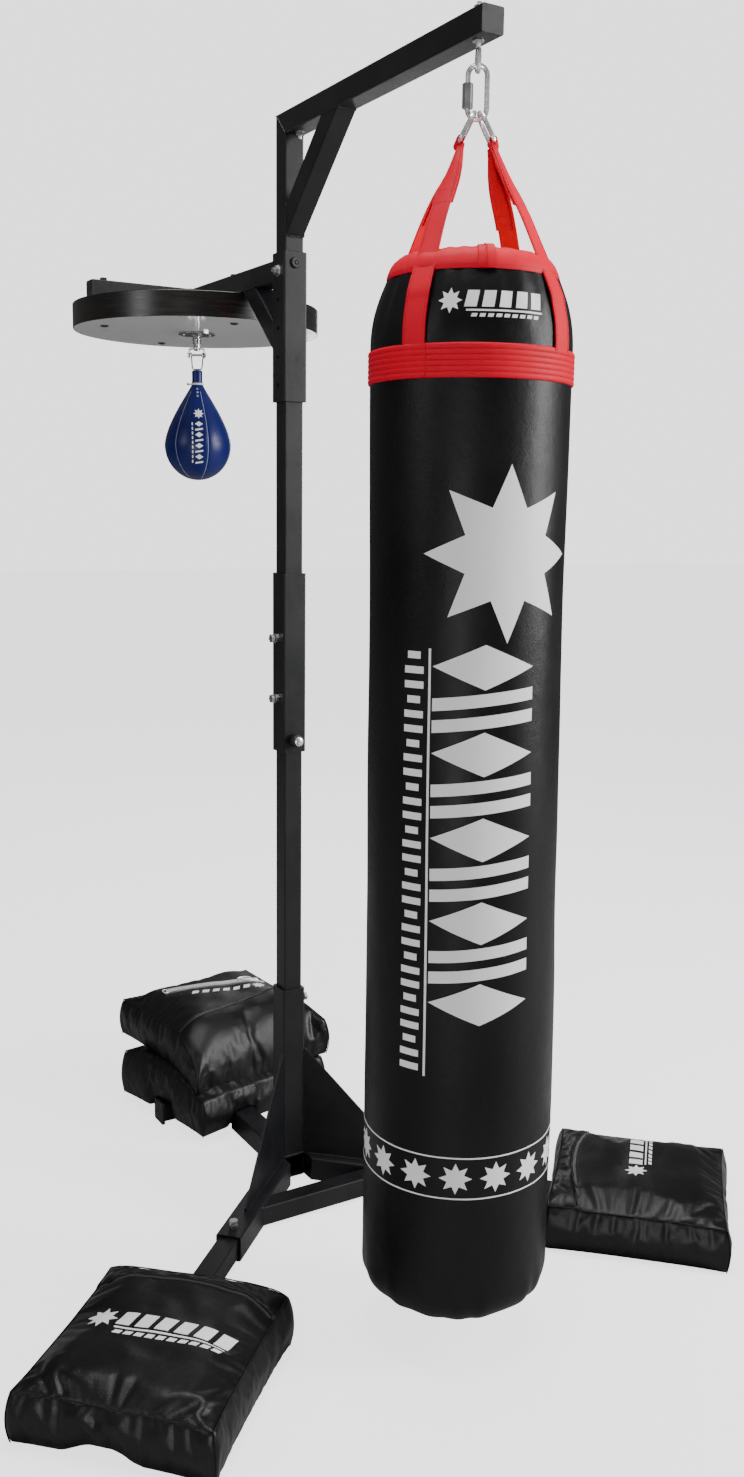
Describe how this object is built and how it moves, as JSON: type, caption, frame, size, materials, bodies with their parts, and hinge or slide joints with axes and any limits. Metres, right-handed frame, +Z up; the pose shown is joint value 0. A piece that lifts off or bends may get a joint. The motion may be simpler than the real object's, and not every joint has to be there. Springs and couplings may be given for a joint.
{
  "type": "punching bag stand",
  "caption": "Heavy bag hung from a steel stand's boom, with a speed bag under a round platform and weighted bags on its three legs.",
  "frame": {"origin": "on the floor under the post's axis, on the rear socket's flat underside", "axes": "+Z up along the post; -Y along the boom towards the heavy bag; +Y along the rear leg and platform arm; +X to the right when facing +Y"},
  "size_m": [1.7198, 1.6916, 2.453],
  "materials": {
    "frame_steel": "satin",
    "zinc_bolt": "satin",
    "chrome": "polished",
    "cap_plastic": "matte",
    "board_white": "gloss",
    "bag_vinyl": "satin",
    "red_vinyl": "satin",
    "textile_fill": "matte",
    "speed_vinyl": "gloss",
    "bladder_rubber": "matte",
    "sandbag_vinyl": "satin"
  },
  "bodies": {
    "base": {"rear_socket": "frame_steel", "left_socket": "frame_steel", "right_socket": "frame_steel", "base_crossbar": "frame_steel", "post_sleeve": "frame_steel", "left_gusset": "frame_steel", "right_gusset": "frame_steel", "left_leg_bolt": "zinc_bolt", "right_leg_bolt": "zinc_bolt", "rear_leg_bolt": "zinc_bolt", "post_bolt": "zinc_bolt", "lower_post": "frame_steel"},
    "left_leg": {"left_leg": "frame_steel", "left_leg_cap": "cap_plastic"},
    "right_leg": {"right_leg": "frame_steel", "right_leg_cap": "cap_plastic"},
    "rear_leg": {"rear_leg": "frame_steel", "rear_foot_bar": "frame_steel", "foot_bar_cap_left": "cap_plastic", "foot_bar_cap_right": "cap_plastic"},
    "left_sandbag": {"left_sandbag": "sandbag_vinyl"},
    "right_sandbag": {"right_sandbag": "sandbag_vinyl"},
    "rear_lower_sandbag": {"rear_lower_sandbag": "sandbag_vinyl"},
    "rear_upper_sandbag": {"rear_upper_sandbag": "sandbag_vinyl"},
    "mast": {"coupler_sleeve": "frame_steel", "upper_post": "frame_steel", "coupler_bolt_lower": "zinc_bolt", "coupler_bolt_upper": "zinc_bolt"},
    "coupler_knob": {"coupler_knob": "cap_plastic"},
    "head": {"head_sleeve": "frame_steel", "head_bolt": "zinc_bolt", "boom_upright": "frame_steel", "boom_tube": "frame_steel", "boom_end_plug": "cap_plastic", "boom_brace": "frame_steel", "eye_bolt": "chrome", "platform_arm": "frame_steel", "platform_strut": "frame_steel", "platform_crossbar_left": "frame_steel", "platform_crossbar_right": "frame_steel", "platform_board": "board_white", "swivel_plate": "chrome"},
    "link": {"quick_link": "chrome"},
    "link_nut": {"quick_link_nut": "zinc_bolt"},
    "bag": {"bag_shell": "bag_vinyl", "bag_fill": "textile_fill", "bag_top": "red_vinyl", "bag_band": "red_vinyl", "left_strap_ring": "chrome", "right_strap_ring": "chrome", "front_left_strap": "red_vinyl", "rear_left_strap": "red_vinyl", "front_right_strap": "red_vinyl", "rear_right_strap": "red_vinyl"},
    "swivel": {"swivel_spindle": "chrome", "swivel_clevis": "chrome", "clevis_pin": "chrome"},
    "speed_bag": {"speed_bag_bail": "chrome", "speed_bag_cover": "speed_vinyl", "speed_bag_bladder": "bladder_rubber"}
  },
  "joints": [
    {"name": "left_leg_slide", "type": "slide", "parent": "base", "child": "left_leg", "axis": [-0.7193, -0.6947, 0], "range_m": [0, 0.08]},
    {"name": "right_leg_slide", "type": "slide", "parent": "base", "child": "right_leg", "axis": [0.7193, -0.6947, 0], "range_m": [0, 0.08]},
    {"name": "rear_leg_slide", "type": "slide", "parent": "base", "child": "rear_leg", "axis": [0, 1, 0], "range_m": [0, 0.07]},
    {"name": "left_sandbag_lift", "type": "slide", "parent": "left_leg", "child": "left_sandbag", "axis": [0, 0, 1], "range_m": [0, 0.12]},
    {"name": "right_sandbag_lift", "type": "slide", "parent": "right_leg", "child": "right_sandbag", "axis": [0, 0, 1], "range_m": [0, 0.12]},
    {"name": "rear_lower_sandbag_lift", "type": "slide", "parent": "rear_leg", "child": "rear_lower_sandbag", "axis": [0, 0, 1], "range_m": [0, 0.12]},
    {"name": "rear_upper_sandbag_lift", "type": "slide", "parent": "rear_lower_sandbag", "child": "rear_upper_sandbag", "axis": [0, 0, 1], "range_m": [0, 0.12]},
    {"name": "mast_height", "type": "slide", "parent": "base", "child": "mast", "axis": [0, 0, 1], "range_m": [0, 0.15]},
    {"name": "coupler_knob_turn", "type": "hinge", "parent": "mast", "child": "coupler_knob", "pos_m": [0, -0.0285, 1.081], "axis": [0, -1, 0], "continuous": true},
    {"name": "head_height", "type": "slide", "parent": "mast", "child": "head", "axis": [0, 0, 1], "range_m": [0, 0.12]},
    {"name": "link_swing", "type": "hinge", "parent": "head", "child": "link", "pos_m": [0, -0.697, 2.3487], "axis": [0.8572, -0.515, 0], "range_deg": [-16, 6]},
    {"name": "link_nut_slide", "type": "slide", "parent": "link", "child": "link_nut", "axis": [0, 0, 1], "range_m": [0, 0.012]},
    {"name": "bag_swing", "type": "hinge", "parent": "link", "child": "bag", "pos_m": [0, -0.697, 2.2827], "axis": [0.515, 0.8572, 0], "range_deg": [-12, 12]},
    {"name": "swivel_spin", "type": "hinge", "parent": "head", "child": "swivel", "pos_m": [0, 0.509, 2.0025], "axis": [0, 0, 1], "continuous": true},
    {"name": "speed_bag_swing", "type": "hinge", "parent": "swivel", "child": "speed_bag", "pos_m": [0, 0.509, 1.9855], "axis": [0.8572, -0.515, 0], "range_deg": [-70, 70]}
  ]
}
